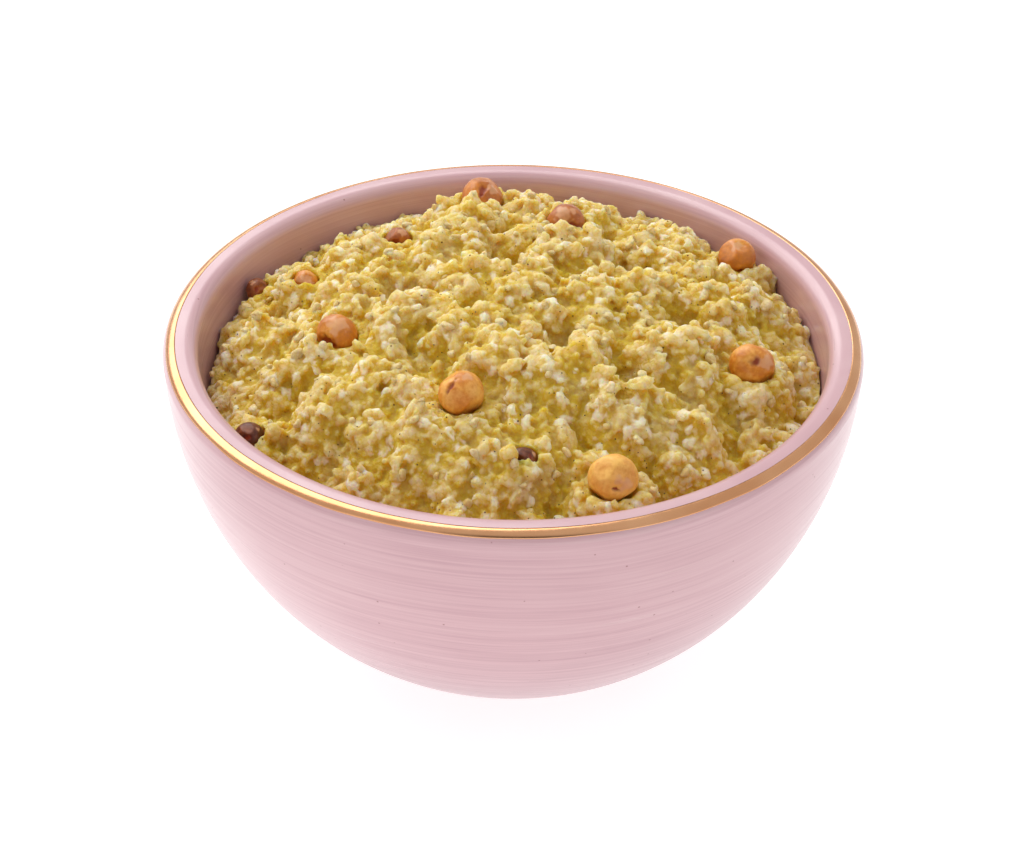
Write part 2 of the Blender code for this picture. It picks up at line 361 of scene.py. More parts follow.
def cavity_outline():
    rows = []
    for angle in steps(0.03 * TURN / 4, TURN / 4, 44):
        depth = CAVITY_DEPTH * math.sin(angle) ** (2 / CAVITY_SQUARENESS)
        share = max(1 - (depth / CAVITY_DEPTH) ** CAVITY_SQUARENESS, 0)
        if depth > LIP_INNER_ROUND * 1.15:
            rows.append((MOUTH_RADIUS * share ** (1 / CAVITY_SQUARENESS), LIP_HEIGHT - depth))
    rows[-1] = (0, LIP_HEIGHT - CAVITY_DEPTH)
    return rows


bowl_outline = foot_outline() + belly_outline() + lip_outline() + cavity_outline()
print("bowl outline points:", len(bowl_outline))

# %% [markdown]
# One function turns an outline into a closed skin. Its first and last points lie on the
# axis, so each end closes with a fan of triangles and no hole is left at the poles.

# %% Turn the bowl
BOWL_SEGMENTS = 288
GROOVE_DEPTH = 0.03 * MM
GROOVE_PITCH = 3.4 * MM


def link_mesh(name, vertices, faces, material):
    mesh = bpy.data.meshes.new(name)
    mesh.from_pydata(vertices, [], faces)
    mesh.update()
    skin = bmesh.new()
    skin.from_mesh(mesh)
    if skin.calc_volume(signed=True) < 0:
        mesh.flip_normals()
    skin.free()
    mesh.shade_smooth()
    mesh.materials.append(material)
    return place_in_scene(name, mesh)


def groove(radius, height, angle):
    if radius < FOOT_RADIUS * 1.1 or height > LIP_HEIGHT - 3 * MM:
        return 0.0
    here = Vector((math.cos(angle) * 0.8, math.sin(angle) * 0.8, height / GROOVE_PITCH))
    return GROOVE_DEPTH * 0.5 * (noise.noise(here) - 1)


def turn_on_wheel(name, outline, segments, material):
    vertices = [Vector((0, 0, outline[0][1]))]
    for radius, height in outline[1:-1]:
        for i in range(segments):
            angle = TURN * i / segments
            reach = radius + groove(radius, height, angle)
            vertices.append(Vector((reach * math.cos(angle), reach * math.sin(angle), height)))
    vertices.append(Vector((0, 0, outline[-1][1])))
    rings = len(outline) - 2
    faces = []
    for i in range(segments):
        j = (i + 1) % segments
        faces.append((0, 1 + i, 1 + j))
        for ring in range(rings - 1):
            low = 1 + ring * segments
            high = low + segments
            faces.append((low + i, high + i, high + j, low + j))
        last = 1 + (rings - 1) * segments
        faces.append((last + i, len(vertices) - 1, last + j))
    return link_mesh(name, vertices, faces, material)


bowl = turn_on_wheel("glazed_bowl", bowl_outline, BOWL_SEGMENTS, glaze)
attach(bowl, "root")
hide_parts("bowl")
print("bowl faces:", len(bowl.data.polygons))

# %% [markdown]
# ## The gold line
# Gold lustre is brushed on the lip's outer shoulder by hand, so its edges wander. It is a
# closed skin, a few hundredths of a millimetre proud, so that its edge catches the light.

# %% The gold material and its band
GOLD_WARM = colour(224, 170, 126)
GOLD_DEEP = colour(208, 148, 104)
GOLD_PROUD = 0.03 * MM
GOLD_BURIED = 0.05 * MM
GOLD_SEGMENTS = 480
GOLD_LOWER_ANGLE = math.radians(51)
GOLD_BACK_ANGLE = math.radians(40)
GOLD_WANDER = math.radians(4)


def make_gold():
    material, tree, place = new_material("gold_lustre")
    patch = noise_level(tree, place, 90.0, 2.0)
    fine = noise_level(tree, place, 700.0, 2.0)
    finish(
        tree, Base_Color=ramp(tree, patch, (0.3, GOLD_DEEP), (0.7, GOLD_WARM)),
        Roughness=remap(tree, fine, 0.3, 0.7, 0.16, 0.26),
        Normal=bumped(tree, 0.08, 0.02 * MM, fine),
        Metallic=1.0,
    )
    return material


def gold_edges(angle):
    """Where the gold starts and stops on the lip's shoulder, as angles from its top."""
    around = Vector((math.cos(angle) * 3, math.sin(angle) * 3, 0))
    toward_back = max(math.sin(angle), 0) ** 0.7
    lower = GOLD_LOWER_ANGLE + (GOLD_BACK_ANGLE - GOLD_LOWER_ANGLE) * toward_back
    lower += GOLD_WANDER * noise.noise(around * 2)
    upper = GOLD_WANDER * noise.noise(around + Vector((0, 0, 7)))
    return upper, lower


def shoulder_point(angle, slope, stand):
    reach = LIP_OUTER_ROUND + stand
    radius = SHOULDER_RADIUS + reach * math.sin(slope)
    height = LIP_HEIGHT - LIP_OUTER_ROUND + reach * math.cos(slope)
    return Vector((radius * math.cos(angle), radius * math.sin(angle), height))


def make_gold_band(material):
    rows = []
    for i in range(GOLD_SEGMENTS):
        angle = TURN * i / GOLD_SEGMENTS
        upper, lower = gold_edges(angle)
        loop = [shoulder_point(angle, upper, -GOLD_BURIED)]
        for share in steps(0, 1, 9):
            swell = math.sin(math.pi * min(max(share, 0.04), 0.96)) ** 0.35
            loop.append(shoulder_point(angle, upper + (lower - upper) * share, GOLD_PROUD * swell))
        loop.append(shoulder_point(angle, lower, -GOLD_BURIED))
        rows.append(loop)
    count = len(rows[0])
    vertices = [point for loop in rows for point in loop]
    faces = []
    for i in range(GOLD_SEGMENTS):
        j = (i + 1) % GOLD_SEGMENTS
        for k in range(count):
            m = (k + 1) % count
            faces.append((i * count + k, j * count + k, j * count + m, i * count + m))
    return link_mesh("gold_line", vertices, faces, material)


gold_band = make_gold_band(make_gold())
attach(gold_band, "root")
print("gold faces:", len(gold_band.data.polygons))

# %% [markdown]
# ## The colours of the halwa
# Cooked gourd and milk solids are translucent: light goes in, turns yellow and comes out a
# millimetre away. Crevices glow a deep yellow, while what stands proud is pale and creamy. The
# colour is painted that way as well: deep yellow in crevices and between beads is painted shade,
# and the pale tone on what stands proud is painted light. One function makes every halwa
# material from three tones. It mixes them by noise, by how proud the surface stands, by each
# crumb's tint, and by cells a millimetre wide. The cells stand for grains too fine for the mesh,
# so they are in the bump too, and their edges are painted darker as painted shade between grains.

# %% The halwa material
HALWA_CREAM = colour(248, 234, 204)
HALWA_DULL = colour(212, 186, 132)
SPOT_BROWN = colour(96, 66, 30)
SPOT_CELL = 1.5 * MM
GRAIN_SIZE = 1.05 * MM
GRIT_SIZE = 0.5 * MM


def make_halwa_finish(name, deep, middle, pale, specked=0.0, glow=0.9, glow_reach=4.0 * MM):
    material, tree, place = new_material(name)
    fine = noise_level(tree, place, 1100.0, 3.0, 0.6)
    bent = vector_sums(tree, "ADD", place, scaled(tree, noise_colour(tree, place, 900.0), 0.5 * MM))
    grain_distance, grain_own = cells_of(tree, bent, GRAIN_SIZE)
    mix = plus(
        tree, remap(tree, noise_level(tree, place, 150.0, 3.0), 0.3, 0.7, -0.12, 0.12), 0.5,
        remap(tree, attribute(tree, "tint"), 0.0, 1.0, -0.22, 0.22),
        remap(tree, fine, 0.3, 0.7, -0.08, 0.08),
        # Painted shade and light: deeper in crevices and between beads, paler on what stands proud, and
        # darker at the edges of grain cells.
        remap(tree, attribute(tree, "proud"), -1.0, 1.0, -0.3, 0.2),
        remap(tree, attribute(tree, "bead"), -1.0, 1.0, -0.25, 0.15),
        remap(tree, grain_distance, 0.1, 0.7, 0.12, -0.3),
        remap(tree, grain_own["Red"], 0.2, 0.8, -0.18, 0.18),
    )
    body = ramp(tree, mix, (0.08, deep), (0.5, middle), (0.95, pale))
    dull = remap(tree, noise_level(tree, place, 190.0, 2.0), 0.5, 0.72, 0.0, 0.5)
    body = mixed(tree, dull, body, HALWA_DULL)
    body = mixed(tree, times(tree, attribute(tree, "cream"), 0.85), body, HALWA_CREAM)
    if specked:
        spots = rare_specks(tree, place, SPOT_CELL, (0.07, 0.13), "Green", specked)
        body = mixed(tree, spots, body, SPOT_BROWN)
    grit_distance, _ = cells_of(tree, place, GRIT_SIZE)
    relief = plus(tree, fine, times(tree, grit_distance, -0.5), times(tree, grain_distance, -1.0))
    finish(
        tree, Base_Color=body, Roughness=remap(tree, fine, 0.3, 0.7, 0.4, 0.66),
        Normal=bumped(tree, 0.75, 0.4 * MM, relief),
        Subsurface_Weight=glow, Subsurface_Radius=(1.0, 0.72, 0.25), Subsurface_Scale=glow_reach,
        Specular_IOR_Level=0.4,
    )
    return material


halwa_body = make_halwa_finish(
    "halwa_body", colour(215, 179, 42), colour(228, 200, 124), colour(231, 208, 162), specked=0.45
)
print("made", halwa_body.name)

# %% [markdown]
# ## The mound
# The measured mound has the crags and hollows in large facets. A copy is merged into one
# skin, and what isn't at the wall is split finer and eased, twice over.

# %% Refine the top of the mound
MERGE_DISTANCE = 0.002 * MM
WALL_GAP = 0.4 * MM
SHOWING_MARGIN = 0.35 * MM
EASING = 0.2


def cavity_reach(height):
    depth = min(max(LIP_HEIGHT - height, 0), CAVITY_DEPTH - WALL_GAP)
    share = 1 - (depth / (CAVITY_DEPTH - WALL_GAP)) ** CAVITY_SQUARENESS
    return (MOUTH_RADIUS - WALL_GAP) * max(share, 0) ** (1 / CAVITY_SQUARENESS)


def on_wall(point):
    return cavity_reach(point.z) - math.hypot(point.x, point.y) < SHOWING_MARGIN


def mesh_from(skin, name):
    mesh = bpy.data.meshes.new(name)
    skin.to_mesh(mesh)
    skin.free()
    return mesh


def refine_mound():
    skin = bmesh.new()
    skin.from_mesh(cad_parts["halwa"].data)
    bmesh.ops.remove_doubles(skin, verts=skin.verts, dist=MERGE_DISTANCE)
    for _ in range(2):
        hidden = {v for v in skin.verts if on_wall(v.co)}
        edges = [e for e in skin.edges if not (e.verts[0] in hidden and e.verts[1] in hidden)]
        bmesh.ops.subdivide_edges(skin, edges=edges, cuts=1, use_grid_fill=True)
        bmesh.ops.triangulate(skin, faces=[f for f in skin.faces if len(f.verts) > 4])
        free = [v for v in skin.verts if not on_wall(v.co)]
        bmesh.ops.smooth_vert(
            skin, verts=free, factor=EASING, use_axis_x=True, use_axis_y=True, use_axis_z=True
        )
    bmesh.ops.triangulate(skin, faces=skin.faces)
    mesh = mesh_from(skin, "halwa_mound")
    mesh.shade_smooth()
    return place_in_scene("halwa_mound", mesh)


mound = refine_mound()
print("mound triangles:", len(mound.data.polygons))

# %% [markdown]
# Grains must not be pushed into the kernels or the wall, so each point of the mound gets its
# clearance: the distance to the nearest of them. The bowl's floor isn't counted.

# %% Measure the clearance over the mound
KERNEL_NAMES = sorted(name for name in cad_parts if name.startswith("kernel"))


def kernels_as_tree():
    vertices = []
    faces = []
    for name in KERNEL_NAMES:
        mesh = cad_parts[name].data
        start = len(vertices)
        vertices += [v.co.copy() for v in mesh.vertices]
        faces += [tuple(start + i for i in face.vertices) for face in mesh.polygons]
    return BVHTree.FromPolygons(vertices, faces)


def measure_clearance(item):
    kernel_tree = kernels_as_tree()
    values = []
    for vertex in item.data.vertices:
        point = vertex.co
        to_kernel = kernel_tree.find_nearest(point)[3]
        to_wall = cavity_reach(point.z) + WALL_GAP - math.hypot(point.x, point.y)
        values.append(max(min(to_kernel, to_wall), 0.0))
    item.data.attributes.new("clearance", "FLOAT", "POINT").data.foreach_set("value", values)
    return max(values)


print("greatest clearance:", round(measure_clearance(mound) / MM, 2), "mm")

# %% [markdown]
# ## Beads over the mound, by Geometry Nodes
# The sweet is a mass of soft beads, a millimetre or two across, that have run together. The
# tree first stores how proud each point stands above a blurred copy of the surface. Then it
# lifts the skin by a smooth cell pattern, and less where the wall or a kernel is close.
# Sizes are inputs, so they can be tried in the modifier.


# %% Helpers for Geometry Nodes trees
SOCKET_KINDS = {float: "NodeSocketFloat", int: "NodeSocketInt", tuple: "NodeSocketVector"}


def new_geometry_tree(name, inputs):
    """A tree with one geometry in and one out, and the named inputs with their first values.
    An input for a material or an object has its kind of socket in place of a value."""
    tree = bpy.data.node_groups.new(name, "GeometryNodeTree")
    tree.is_modifier = True
    tree.interface.new_socket("Geometry", in_out="INPUT", socket_type="NodeSocketGeometry")
    for title, value in inputs.items():
        kind = SOCKET_KINDS.get(type(value), value)
        socket = tree.interface.new_socket(title, in_out="INPUT", socket_type=kind)
        if kind != value:
            socket.default_value = value
    tree.interface.new_socket("Geometry", in_out="OUTPUT", socket_type="NodeSocketGeometry")
    entry = tree.nodes.new("NodeGroupInput")
    exit_node = tree.nodes.new("NodeGroupOutput")
    return tree, entry.outputs, exit_node.inputs["Geometry"]


def shown_mesh(item):
    """The item's mesh as its modifiers leave it."""
    return bpy.data.meshes.new_from_object(item.evaluated_get(bpy.context.evaluated_depsgraph_get()))


def apply_tree(item, tree, values, name):
    """Runs the tree on the item, and returns the result as a plain piece."""
    modifier = item.modifiers.new(tree.name, "NODES")
    modifier.node_group = tree
    for socket in tree.interface.items_tree:
        if socket.item_type == "SOCKET" and socket.in_out == "INPUT" and socket.name in values:
            modifier[socket.identifier] = values[socket.name]
    mesh = shown_mesh(item)
    mesh.name = name
    item.modifiers.remove(modifier)
    return place_in_scene(name, mesh)


def store(tree, geometry, name, value, domain="POINT"):
    return made(
        tree, "GeometryNodeStoreNamedAttribute", {"data_type": "FLOAT", "domain": domain},
        Geometry=geometry, Name=name, Value=value,
    )


def blurred(tree, value, iterations):
    settings = {"data_type": "FLOAT_VECTOR"}
    return made(tree, "GeometryNodeBlurAttribute", settings, Value=value, Iterations=iterations)


def end_tree(tree, geometry, material, result):
    painted = made(tree, "GeometryNodeSetMaterial", Geometry=geometry, Material=material)
    tree.links.new(painted, result)


def named(tree, name):
    return made(tree, "GeometryNodeInputNamedAttribute", {"data_type": "FLOAT"}, Name=name)


print("geometry helpers ready")

# %% The bead relief
PROUD_REACH = 1.2 * MM
SKIN_BLUR = 60
BEAD_SMOOTHNESS = 0.2


def bead_pattern(tree, size):
    """From half at the middle of a cell to minus half between cells that are this size apart."""
    cells = add(
        tree, "ShaderNodeTexVoronoi", {"feature": "SMOOTH_F1"},
        Vector=made(tree, "GeometryNodeInputPosition"),
        Scale=sums(tree, "DIVIDE", 1.0, size), Smoothness=BEAD_SMOOTHNESS,
    )
    return remap(tree, out(cells, "Distance"), 0.15, 0.75, 0.5, -0.5)


def make_bead_tree():
    tree, given, result = new_geometry_tree("bead_relief", {
        "Bead size": 1.6 * MM,
        "Bead height": 0.6 * MM,
        "Lump size": 4.2 * MM,
        "Lump height": 0.7 * MM,
        "Sharpening": 0.5 * MM,
        "Material": "NodeSocketMaterial",
    })
    position = made(tree, "GeometryNodeInputPosition")
    normal = made(tree, "GeometryNodeInputNormal")
    above = vector_sums(tree, "SUBTRACT", position, blurred(tree, position, SKIN_BLUR))
    proud = sums(tree, "DIVIDE", vector_sums(tree, "DOT_PRODUCT", above, normal), PROUD_REACH)
    stored = store(tree, given["Geometry"], "proud", proud)
    rise = plus(
        tree,
        times(tree, bead_pattern(tree, given["Bead size"]), given["Bead height"]),
        times(tree, bead_pattern(tree, given["Lump size"]), given["Lump height"]),
        times(tree, proud, given["Sharpening"]),
    )
    room = remap(tree, named(tree, "clearance"), 0.3 * MM, 1.6 * MM)
    offset = scaled(tree, normal, times(tree, rise, room))
    moved = made(tree, "GeometryNodeSetPosition", Geometry=stored, Offset=offset)
    end_tree(tree, moved, given["Material"], result)
    return tree


beaded = apply_tree(mound, make_bead_tree(), {"Material": halwa_body}, "beaded_mound")
print("beaded mound triangles:", len(beaded.data.polygons))

# %% [markdown]
# ## Crumbs and grains, by Geometry Nodes
# On the mound lie crumbs of gourd and milk solids, and over them cream curds and dark specks
# of cardamom. One tree makes them all. It scatters points on a surface, puts a small ball on
# each, stretches, turns and sinks it, and bends each ball differently with noise.


# %% The grain tree
def random_value(tree, kind, low, high, seed):
    return made(tree, "FunctionNodeRandomValue", {"data_type": kind}, Min=low, Max=high, Seed=seed)


def grain_density(tree, position, given):
    """From 0 to 1: in patches, more on what stands proud, and none too near a kernel or too high."""
    clearance = named(tree, "clearance")
    roomy = times(
        tree, sums(tree, "GREATER_THAN", clearance, given["Clearance"]),
        sums(tree, "LESS_THAN", clearance, given["Farthest"]),
    )
    height = add(tree, "ShaderNodeSeparateXYZ", Vector=position).outputs["Z"]
    allowed = times(tree, roomy, sums(tree, "LESS_THAN", height, given["Highest"]))
    patch = made(
        tree, "ShaderNodeTexNoise", {"noise_dimensions": "4D"},
        Vector=position, W=given["Seed"], Scale=sums(tree, "DIVIDE", 1.0, given["Patch size"]), Detail=2.0,
    )
    bare = sums(tree, "SUBTRACT", 1.0, given["Patch cover"])
    favoured = plus(
        tree, sums(tree, "SUBTRACT", remap(tree, patch, 0.3, 0.7), bare),
        times(tree, named(tree, "proud"), given["Proud bias"]),
    )
    return times(tree, remap(tree, favoured, -0.15, 0.15), allowed)


def make_grain_tree():
    tree, given, result = new_geometry_tree("grain_scatter", {
        "Spacing": 1.0 * MM,
        "Density": 100000.0,
        "Smallest": (0.5 * MM,) * 3,
        "Largest": (0.9 * MM,) * 3,
        "Tilt": 3.14,
        "Sink": 0.2 * MM,
        "Unevenness": 0.4 * MM,
        "Clearance": 0.8 * MM,
        "Farthest": 100 * MM,
        "Patch size": 7 * MM,
        "Patch cover": 0.5,
        "Proud bias": 0.3,
        "Highest": 66 * MM,
        "Fineness": 2,
        "Lobe size": 1.3 * MM,
        "Lobe height": 0.5 * MM,
        "Creaminess": 0.0,
        "Seed": 1,
        "Material": "NodeSocketMaterial",
    })
    position = made(tree, "GeometryNodeInputPosition")
    normal = made(tree, "GeometryNodeInputNormal")
    points = add(
        tree, "GeometryNodeDistributePointsOnFaces", {"distribute_method": "POISSON"},
        Mesh=given["Geometry"], Distance_Min=given["Spacing"], Density_Max=given["Density"],
        Density_Factor=grain_density(tree, position, given), Seed=given["Seed"],
    ).outputs
    ball = made(tree, "GeometryNodeMeshIcoSphere", Subdivisions=given["Fineness"], Radius=0.5)
    size = random_value(tree, "FLOAT_VECTOR", given["Smallest"], given["Largest"], given["Seed"])
    grains = made(
        tree, "GeometryNodeInstanceOnPoints",
        Points=points["Points"], Instance=ball, Rotation=points["Rotation"], Scale=size,
    )
    back = times(tree, given["Tilt"], -1.0)
    low_turn = made(tree, "ShaderNodeCombineXYZ", X=back, Y=back, Z=-math.pi)
    high_turn = made(tree, "ShaderNodeCombineXYZ", X=given["Tilt"], Y=given["Tilt"], Z=math.pi)
    spin = random_value(tree, "FLOAT_VECTOR", low_turn, high_turn, plus(tree, given["Seed"], 11))
    down = made(tree, "ShaderNodeCombineXYZ", Z=times(tree, given["Sink"], -1.0))
    sunk = made(
        tree, "GeometryNodeTranslateInstances", Instances=grains, Translation=down, Local_Space=True
    )
    spun = made(tree, "GeometryNodeRotateInstances", Instances=sunk, Rotation=spin, Local_Space=True)
    tint = random_value(tree, "FLOAT", 0.2, 0.8, plus(tree, given["Seed"], 23))
    tinted = store(tree, spun, "tint", tint, "INSTANCE")
    tinted = store(tree, tinted, "cream", given["Creaminess"], "INSTANCE")
    real = made(tree, "GeometryNodeRealizeInstances", Geometry=tinted)
    bend = noise_colour(tree, position, 1 / (1.3 * MM))
    pushed = vector_sums(tree, "SUBTRACT", bend, (0.5, 0.5, 0.5))
    bent = made(
        tree, "GeometryNodeSetPosition",
        Geometry=real, Offset=scaled(tree, pushed, given["Unevenness"]),
    )
    lobe = times(tree, bead_pattern(tree, given["Lobe size"]), given["Lobe height"])
    lobed = made(tree, "GeometryNodeSetPosition", Geometry=bent, Offset=scaled(tree, normal, lobe))
    smooth = made(tree, "GeometryNodeSetShadeSmooth", Geometry=lobed)
    end_tree(tree, smooth, given["Material"], result)
    return tree


grain_tree = make_grain_tree()
print("grain tree nodes:", len(grain_tree.nodes))

# %% [markdown]
# ## Crumbs that melt together
# In the real sweet each crumb is stuck to the next by syrup and ghee. So six kinds of crumb
# are scattered, a few clumps are leant on the kernels at listed places, and all of it is joined
# with the mound and rebuilt as one skin by a voxel Remesh, which welds whatever overlaps. A
# little smoothing melts the creases, and Decimate spends triangles where the skin bends.

# %% Scatter the crumbs and fuse them
HIGHEST_CRUMB = solid_box[1][2] - 1.6 * MM
# One column for each kind of crumb: slabs, petals, lumps, beads, a fringe of beads that is
# near the kernels and the wall, and cream. First the inputs that are lengths, in mm.
CRUMB_LENGTHS = {
    "Spacing": (3.6, 3.0, 2.2, 1.15, 1.1, 2.0),
    "Smallest": (
        (2.8, 2.2, 1.2), (1.9, 1.5, 0.8), (1.3, 1.2, 1.0),
        (0.9, 0.9, 0.8), (0.9, 0.85, 0.8), (1.2, 1.0, 0.8),
    ),
    "Largest": (
        (6.4, 4.6, 2.4), (4.4, 3.2, 1.2), (2.8, 2.2, 1.7),
        (1.5, 1.4, 1.2), (1.4, 1.3, 1.1), (3.0, 2.2, 1.5),
    ),
    "Sink": (0.8, 0.2, 0.7, 0.2, 0.0, 0.35),
    "Unevenness": (1.1, 1.1, 0.8, 0.45, 0.3, 0.9),
    "Clearance": (2.2, 1.9, 1.4, 0.95, 0.65, 1.4),
    "Farthest": (100, 100, 100, 100, 2.2, 100),
    "Lobe size": (1.25, 1.1, 1.1, 1.3, 1.3, 1.3),
    "Lobe height": (0.6, 0.35, 0.4, 0.0, 0.0, 0.2),
    "Patch size": (9, 6, 6, 7, 7, 4.5),
}
CRUMB_RATES = {
    "Density": (160000.0, 200000.0, 300000.0, 1300000.0, 900000.0, 200000.0),
    "Tilt": (0.35, 0.6, 0.9, 1.5, 1.5, 0.7),
    "Fineness": (4, 4, 3, 2, 2, 3),
    "Patch cover": (0.65, 0.6, 0.6, 0.95, 0.9, 0.52),
    "Proud bias": (0.8, 0.6, 0.5, 0.2, 0.0, 0.7),
    "Creaminess": (0.0, 0.15, 0.0, 0.0, 0.0, 1.0),
    "Seed": (2, 8, 5, 3, 17, 13),
}
# Clumps that lean on a kernel and hide a part of it: where the viewer sees them from its
# middle, in radii to the right and above, and their own radius in mm
LEANING_CLUMPS = {
    "kernel_01": ((-0.5, -0.95, 1.0), (0.2, -1.0, 1.1), (0.85, -0.6, 1.0)),
    "kernel_02": ((-0.7, -0.35, 1.7), (-0.15, -0.75, 1.4), (0.6, -0.75, 1.3)),
    "kernel_03": ((0.55, -0.2, 1.1), (-0.8, -0.1, 1.0), (-0.1, -0.8, 1.1)),
    "kernel_04": ((-0.55, -0.8, 1.5), (0.4, -0.7, 1.3), (0.8, -0.45, 1.3)),
    "kernel_05": ((-0.5, -0.8, 1.3), (0.35, -0.9, 1.4), (0.93, -0.3, 1.2)),
    "kernel_06": ((0.0, -0.97, 1.2), (-0.6, -0.78, 1.2), (0.75, -0.62, 1.1)),
    "kernel_07": ((-0.62, -0.6, 2.0), (-0.1, -0.95, 1.2), (-0.95, 0.0, 1.3)),
    "kernel_08": ((-0.75, 0.1, 1.6), (-0.3, -0.75, 1.5), (0.5, -0.75, 1.3)),
    "kernel_09": ((-0.55, 0.25, 1.7), (-0.5, -0.6, 1.5), (0.35, -0.85, 1.1)),
    "kernel_10": ((0.9, 0.2, 1.7), (0.6, -0.6, 1.6), (0.6, 0.7, 1.3)),
    "kernel_11": ((0.6, 0.1, 1.5), (-0.7, -0.2, 1.4), (0.1, -0.8, 1.5)),
    "kernel_12": ((0.7, -0.2, 1.5), (0.1, -0.9, 1.3), (0.7, 0.5, 1.2)),
}
CLUMP_GAP = 0.2 * MM
CLUMP_HOLD = 0.8
FUSING_VOXEL = 0.3 * MM
MELTING = 0.5
MELTING_PASSES = 1
MASS_TRIANGLES = 196000


def in_metres(length):
    return tuple(part * MM for part in length) if isinstance(length, tuple) else length * MM


def crumb_kinds():
    """The inputs of the grain tree for each column, by name."""
    rows = {title: [in_metres(length) for length in row] for title, row in CRUMB_LENGTHS.items()}
    rows.update(CRUMB_RATES)
    return [dict(zip(rows, column)) for column in zip(*rows.values())]


def lean_clumps():
    """Uneven lumps against the kernels, as one piece. One that would hang in the air is skipped."""
    skin = bmesh.new()
    ground = BVHTree.FromPolygons(
        [v.co for v in beaded.data.vertices], [face.vertices for face in beaded.data.polygons]
    )
    skipped = []
    places = [(kernel, *clump) for kernel, clumps in LEANING_CLUMPS.items() for clump in clumps]
    for kernel, right, above, radius in places:
        low, high = (Vector(corner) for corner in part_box(kernel))
        toward = across * right + upward * above
        toward += backward * math.sqrt(max(1 - toward.length_squared, 0))
        reach = (high - low).length / 2 / math.sqrt(3) + radius * MM + CLUMP_GAP
        middle = (low + high) / 2 + toward * reach
        if ground.find_nearest(middle)[3] > CLUMP_HOLD * radius * MM:
            skipped.append((kernel, right, above))
            continue
        start = len(skin.verts)
        bmesh.ops.create_icosphere(skin, subdivisions=3, radius=radius * MM)
        skin.verts.ensure_lookup_table()
        for vertex in skin.verts[start:]:
            uneven = noise.noise((middle + vertex.co) / (1.4 * MM))
            vertex.co = middle + vertex.co * (0.9 + 0.3 * uneven)
    print("clumps skipped:", skipped)
    return place_in_scene("leaning_clumps", mesh_from(skin, "leaning_clumps"))


def triangle_count(mesh):
    return sum(len(face.vertices) - 2 for face in mesh.polygons)


def apply_modifiers(item):
    """Keeps the mesh that the modifiers make, and counts its triangles."""
    mesh = shown_mesh(item)
    item.modifiers.clear()
    item.data = mesh
    return triangle_count(mesh)


def gather(first, others, name):
    """One object that holds copies of all of them, with their attributes."""
    tree, given, result = new_geometry_tree("gathering", {})
    join = tree.nodes.new("GeometryNodeJoinGeometry")
    for other in others:
        source = add(tree, "GeometryNodeObjectInfo", Object=other).outputs["Geometry"]
        tree.links.new(source, join.inputs["Geometry"])
    tree.links.new(given["Geometry"], join.inputs["Geometry"])
    tree.links.new(join.outputs["Geometry"], result)
    return apply_tree(first, tree, {}, name)


def fuse(name, gathered):
    mass = place_in_scene(name, gathered.data.copy())
    welding = mass.modifiers.new("welding", "REMESH")
    welding.mode = "VOXEL"
    welding.voxel_size = FUSING_VOXEL
    melting = mass.modifiers.new("melting", "SMOOTH")
    melting.factor = MELTING
    melting.iterations = MELTING_PASSES
    count = apply_modifiers(mass)
    print("fused at", round(FUSING_VOXEL / MM, 2), "mm:", count, "triangles")
    thrift = mass.modifiers.new("thrift", "DECIMATE")
    thrift.ratio = min(MASS_TRIANGLES / count, 1.0)
    print("kept:", apply_modifiers(mass), "triangles")
    return mass


crumbs = [
    apply_tree(
        beaded, grain_tree, {**kind, "Material": halwa_body, "Highest": HIGHEST_CRUMB}, "loose_crumbs"
    )
    for kind in crumb_kinds()
]
crumbs.append(lean_clumps())
gathered = gather(beaded, crumbs, "gathered_crumbs")
mass = fuse("halwa_mass", gathered)
for helper in (mound, beaded, *crumbs):
    bpy.data.objects.remove(helper)

# %% [markdown]
# The fused skin has lost its attributes, so they are read again. How proud a point stands is
# measured at two widths, a bead's and a crag's, by two blurs. The tint and the cream of each
# crumb are sampled from the nearest spot on the crumbs as they were.

# %% Measure the fused skin
BEAD_BLUR = 12
CRAG_BLUR = 160
NORMAL_BLUR = 20
BEAD_PROUD = 0.25 * MM
CRAG_PROUD = 1.6 * MM


def stands_above(tree, iterations, reach):
    position = made(tree, "GeometryNodeInputPosition")
    above = vector_sums(tree, "SUBTRACT", position, blurred(tree, position, iterations))
    normal = blurred(tree, made(tree, "GeometryNodeInputNormal"), NORMAL_BLUR)
    return sums(tree, "DIVIDE", vector_sums(tree, "DOT_PRODUCT", above, normal), reach)


def make_reading_tree():
    tree, given, result = new_geometry_tree(
        "relief_reading", {"Crumbs": "NodeSocketObject", "Material": "NodeSocketMaterial"}
    )
    geometry = given["Geometry"]
    before = add(tree, "GeometryNodeObjectInfo", Object=given["Crumbs"]).outputs["Geometry"]
    for name in ("tint", "cream"):
        nearest = made(
            tree, "GeometryNodeSampleNearestSurface", {"data_type": "FLOAT"},
            Mesh=before, Value=named(tree, name),
        )
        geometry = store(tree, geometry, name, nearest)
    for name, iterations, reach in (("bead", BEAD_BLUR, BEAD_PROUD), ("proud", CRAG_BLUR, CRAG_PROUD)):
        geometry = store(tree, geometry, name, stands_above(tree, iterations, reach))
    smooth = made(tree, "GeometryNodeSetShadeSmooth", Geometry=geometry)
    end_tree(tree, smooth, given["Material"], result)
    return tree


measure_clearance(mass)
core = apply_tree(
    mass, make_reading_tree(), {"Crumbs": gathered, "Material": halwa_body}, "halwa_core"
)
bpy.data.objects.remove(mass)
bpy.data.objects.remove(gathered)
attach(core, "root")
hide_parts("halwa")
print("halwa core triangles:", len(core.data.polygons))

# %% [markdown]
# ## Loose bits on top
# Loose on the fused mass lie cream curds, up to 2.6 mm, and the specks. Each kind is one
# piece. What a kind doesn't name keeps its first value in the tree.

